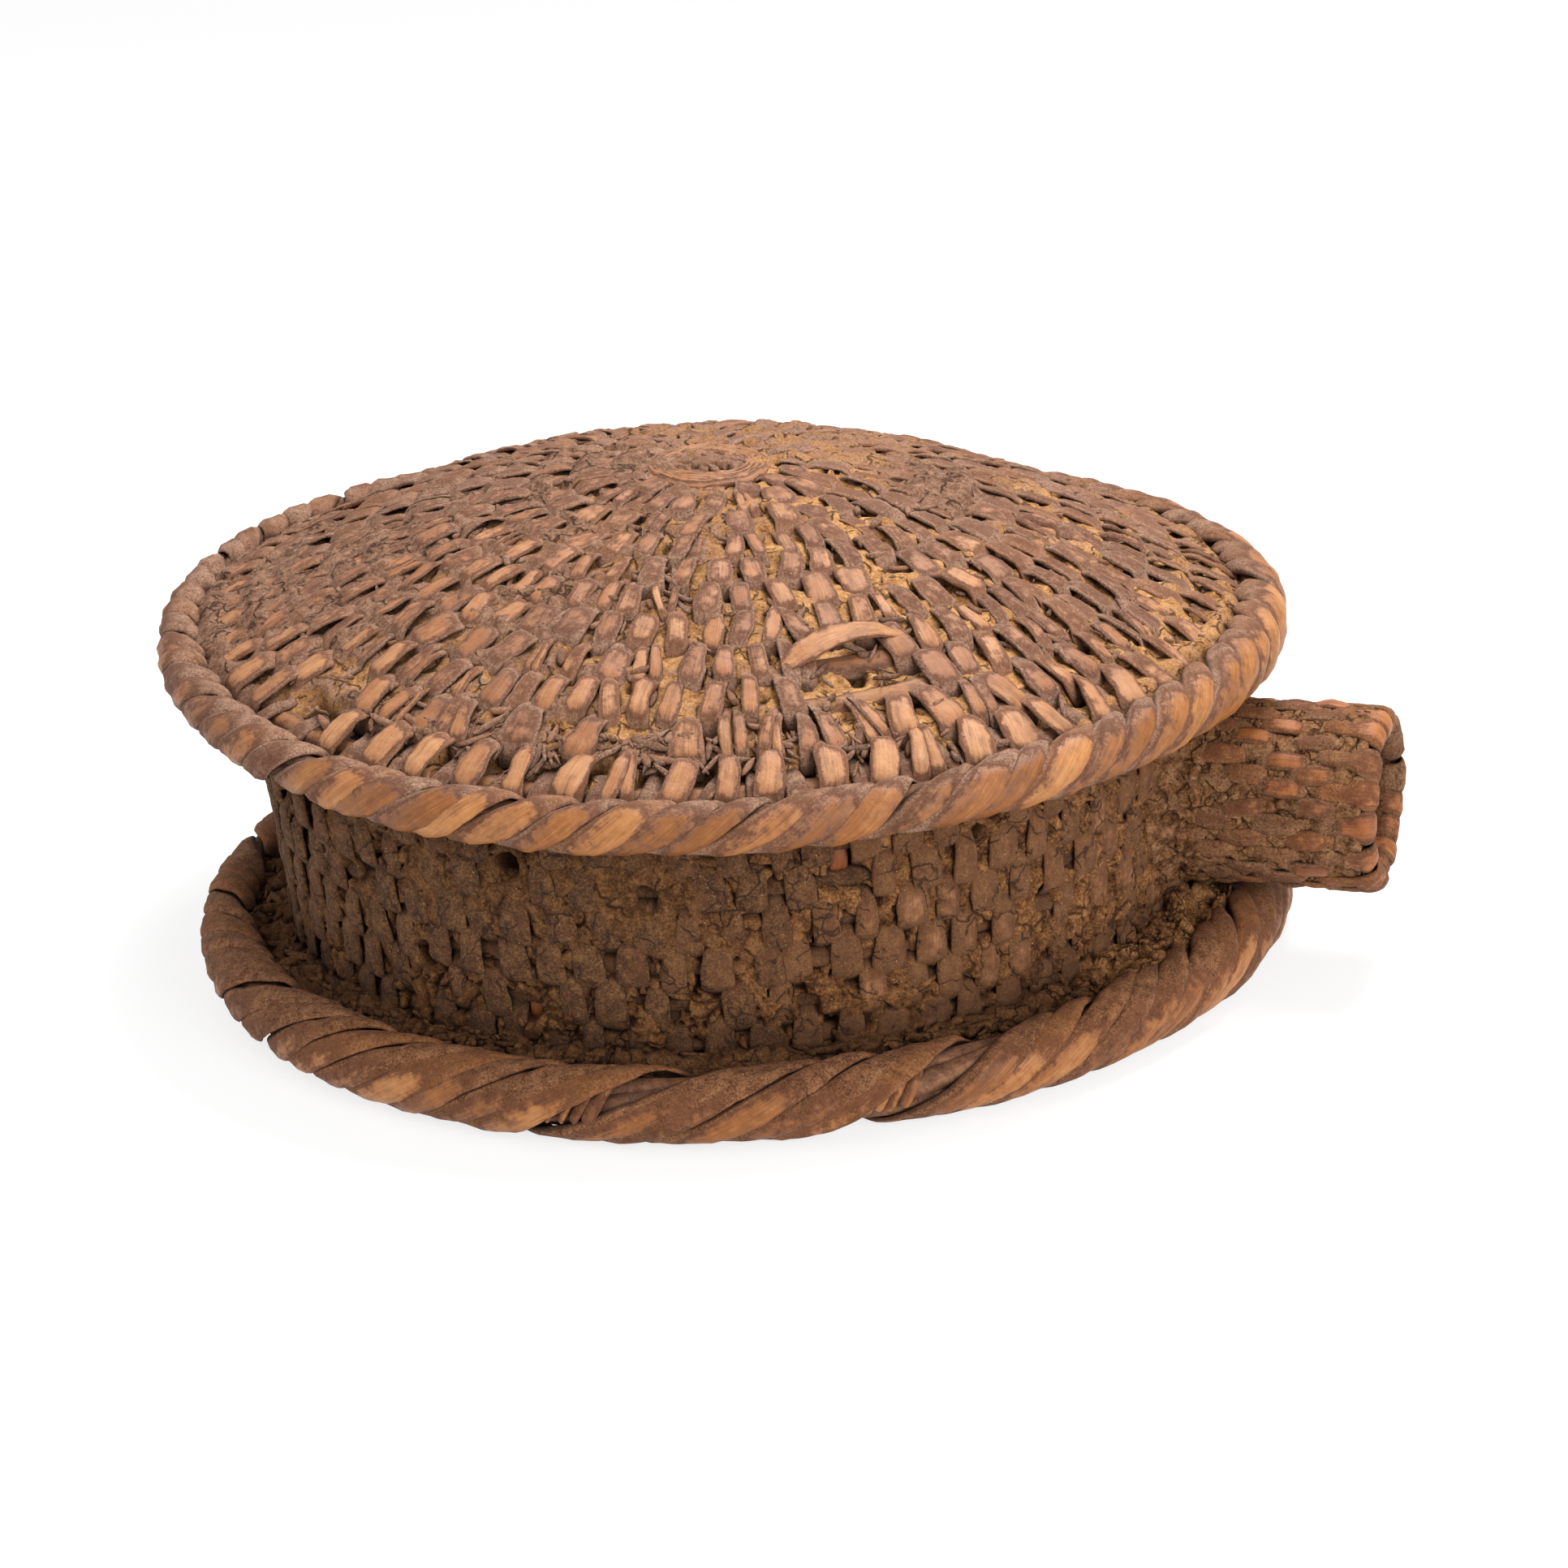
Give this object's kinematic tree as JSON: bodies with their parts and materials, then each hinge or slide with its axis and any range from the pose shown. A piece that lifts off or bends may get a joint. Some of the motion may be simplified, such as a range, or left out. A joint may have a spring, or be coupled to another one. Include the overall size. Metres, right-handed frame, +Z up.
{
  "type": "wicker flask",
  "caption": "Sealed round wicker flask lying on its flat face: domed stitched top, rolled overhanging borders, mud-coated wall and a short tubular side neck.",
  "frame": {"origin": "on the drum's axis, on the flat underside of the bottom face's start coil, which is the surface the flask lies on", "axes": "+Z up along the drum's axis, +X along the neck towards its mouth"},
  "size_m": [0.3796, 0.3424, 0.1472],
  "materials": {
    "willow_splint": "matte, weathered split willow with dust in the weave",
    "border_splint": "worn satin where handled",
    "willow_rod": "matte peeled shoot",
    "dried_mud": null,
    "sealing_compound": null
  },
  "bodies": {
    "root": {"top_start_coil": "willow_rod", "top_rod_01": "willow_rod", "top_rod_02": "willow_rod", "top_rod_03": "willow_rod", "top_rod_04": "willow_rod", "top_rod_05": "willow_rod", "top_rod_06": "willow_rod", "top_rod_07": "willow_rod", "top_rod_08": "willow_rod", "top_rod_09": "willow_rod", "top_rod_10": "willow_rod", "top_rod_11": "willow_rod", "top_splints": "willow_splint", "top_overhang_splints": "willow_splint", "top_sealing": "sealing_compound", "top_border_core": "willow_rod", "top_border_wrap": "border_splint", "bottom_start_coil": "willow_rod", "bottom_rod_01": "willow_rod", "bottom_rod_02": "willow_rod", "bottom_rod_03": "willow_rod", "bottom_rod_04": "willow_rod", "bottom_rod_05": "willow_rod", "bottom_rod_06": "willow_rod", "bottom_rod_07": "willow_rod", "bottom_rod_08": "willow_rod", "bottom_rod_09": "willow_rod", "bottom_rod_10": "willow_rod", "bottom_splints": "willow_splint", "bottom_sealing": "sealing_compound", "bottom_border_core": "willow_rod", "bottom_border_wrap": "border_splint", "trough_packing": "dried_mud", "wall_rod_1": "willow_rod", "wall_rod_2": "willow_rod", "wall_rod_3": "willow_rod", "wall_rod_4": "willow_rod", "wall_rod_5": "willow_rod", "wall_rod_6": "willow_rod", "wall_rod_7": "willow_rod", "wall_splints": "willow_splint", "wall_mud_coat": "dried_mud", "wall_sealing": "sealing_compound", "neck_rod_1": "willow_rod", "neck_rod_2": "willow_rod", "neck_rod_3": "willow_rod", "neck_rod_4": "willow_rod", "neck_rod_5": "willow_rod", "neck_splints": "willow_splint", "neck_lip_binding": "willow_splint", "neck_sealing": "sealing_compound", "neck_mud_collar": "dried_mud"}
  },
  "joints": []
}
